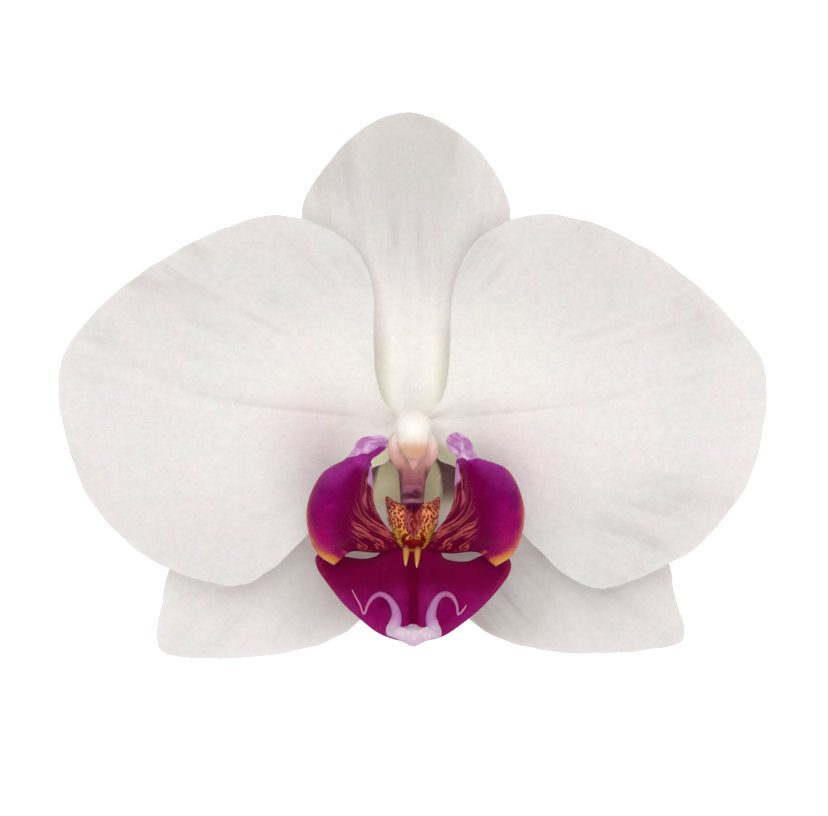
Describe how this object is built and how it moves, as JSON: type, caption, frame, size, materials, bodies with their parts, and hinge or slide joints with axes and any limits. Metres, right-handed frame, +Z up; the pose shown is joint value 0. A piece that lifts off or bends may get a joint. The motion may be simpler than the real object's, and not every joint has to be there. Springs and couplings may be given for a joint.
{
  "type": "orchid flower",
  "caption": "Moth orchid flower, as picked: white sepals and petals, magenta three-lobed lip with tendrils, column with anther cap, and a short stalk behind. Lies face up.",
  "frame": {"origin": "middle of the bounding box's underside, on the surface the flower rests on", "axes": "+X across the face to the viewer's right, +Y along the dorsal sepal, +Z up out of the flower's face"},
  "size_m": [0.0954, 0.0732, 0.0212],
  "materials": {
    "sepal": "living sepal tissue: satin white with grey-pink mottling, fine lengthwise veins, cream towards the base",
    "petal": "living petal tissue: satin white, fine fanning veins, faint pink blush near the lip, cream near the centre",
    "lip": "living lip tissue: velvety magenta, paler mauve tips, orange margins, yellow and orange callus with red spots and stripes",
    "column": "waxy pink column flushed purple towards its foot",
    "anther": "waxy cream cap",
    "pollen": "waxy deep yellow pollen masses",
    "stalk": "smooth pale green stalk with fine lengthwise ribs and a moist cut end"
  },
  "bodies": {
    "root": {"dorsal_sepal": "sepal", "lateral_sepal_left": "sepal", "lateral_sepal_right": "sepal", "petal_left": "petal", "petal_right": "petal", "labellum": "lip", "column": "column", "anther_cap": "anther", "pollinarium": "pollen", "pedicel": "stalk"}
  },
  "joints": []
}
